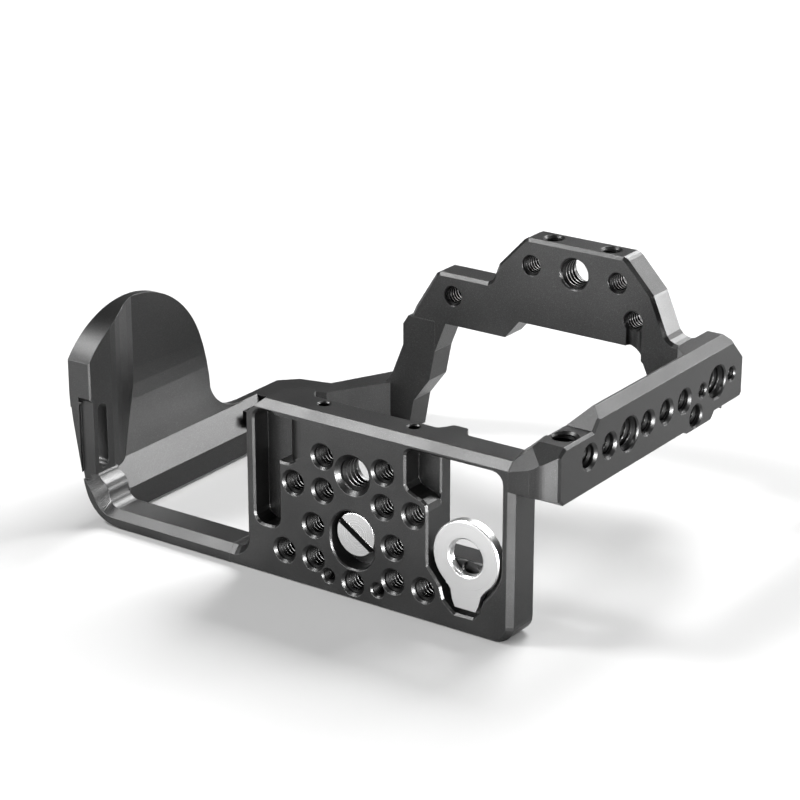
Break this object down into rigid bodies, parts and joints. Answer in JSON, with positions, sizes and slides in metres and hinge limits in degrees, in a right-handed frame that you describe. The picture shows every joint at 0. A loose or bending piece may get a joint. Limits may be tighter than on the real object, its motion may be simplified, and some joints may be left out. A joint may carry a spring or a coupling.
{
  "type": "camera cage",
  "caption": "Black aluminium cage for a photo camera, with threaded mounting holes, a slotted fixing screw and a flat key held in the base.",
  "frame": {"origin": "axis of the camera fixing screw, at the plane the camera's base sits on", "axes": "+Z along the lens axis, forwards (up, as the cage lies on its back); +Y towards the camera's top; +X towards the side bar"},
  "size_m": [0.1637, 0.1219, 0.0718],
  "materials": {
    "anodised": "black anodised, bead blasted",
    "steel": "fine brushed",
    "nickel": "satin nickel",
    "black_steel": "black oxide",
    "rubber": "matt"
  },
  "bodies": {
    "cage": {"base_plate": "anodised", "side_bar": "anodised", "grip_frame": "anodised", "bridge_plate": "anodised", "bridge_leg": "anodised", "top_rail": "anodised", "key_magnet": "nickel", "seat_pads": "rubber", "bar_screws": "black_steel", "frame_screws": "black_steel", "leg_screws": "black_steel", "bridge_screws": "black_steel", "bridge_pins": "steel", "wing_screws": "black_steel", "wing_pins": "steel", "band_screws": "black_steel", "band_pins": "steel"},
    "screw_carrier": {"screw_clip": "steel"},
    "screw": {"camera_screw": "steel"},
    "key": {"flat_key": "steel"}
  },
  "joints": [
    {"name": "screw_advance", "type": "slide", "parent": "cage", "child": "screw_carrier", "axis": [0, -1, 0], "range_m": [0, 0.0023]},
    {"name": "screw_turn", "type": "hinge", "parent": "screw_carrier", "child": "screw", "pos_m": [0, -0.005, 0], "axis": [0, -1, 0], "range_deg": [0, 650]},
    {"name": "key_lift", "type": "slide", "parent": "cage", "child": "key", "axis": [0, -1, 0], "range_m": [0, 0.02]}
  ],
  "couplings": [
    {"joint": "screw_advance", "follows": "screw_turn", "m_per_rad": 0.00020213}
  ]
}
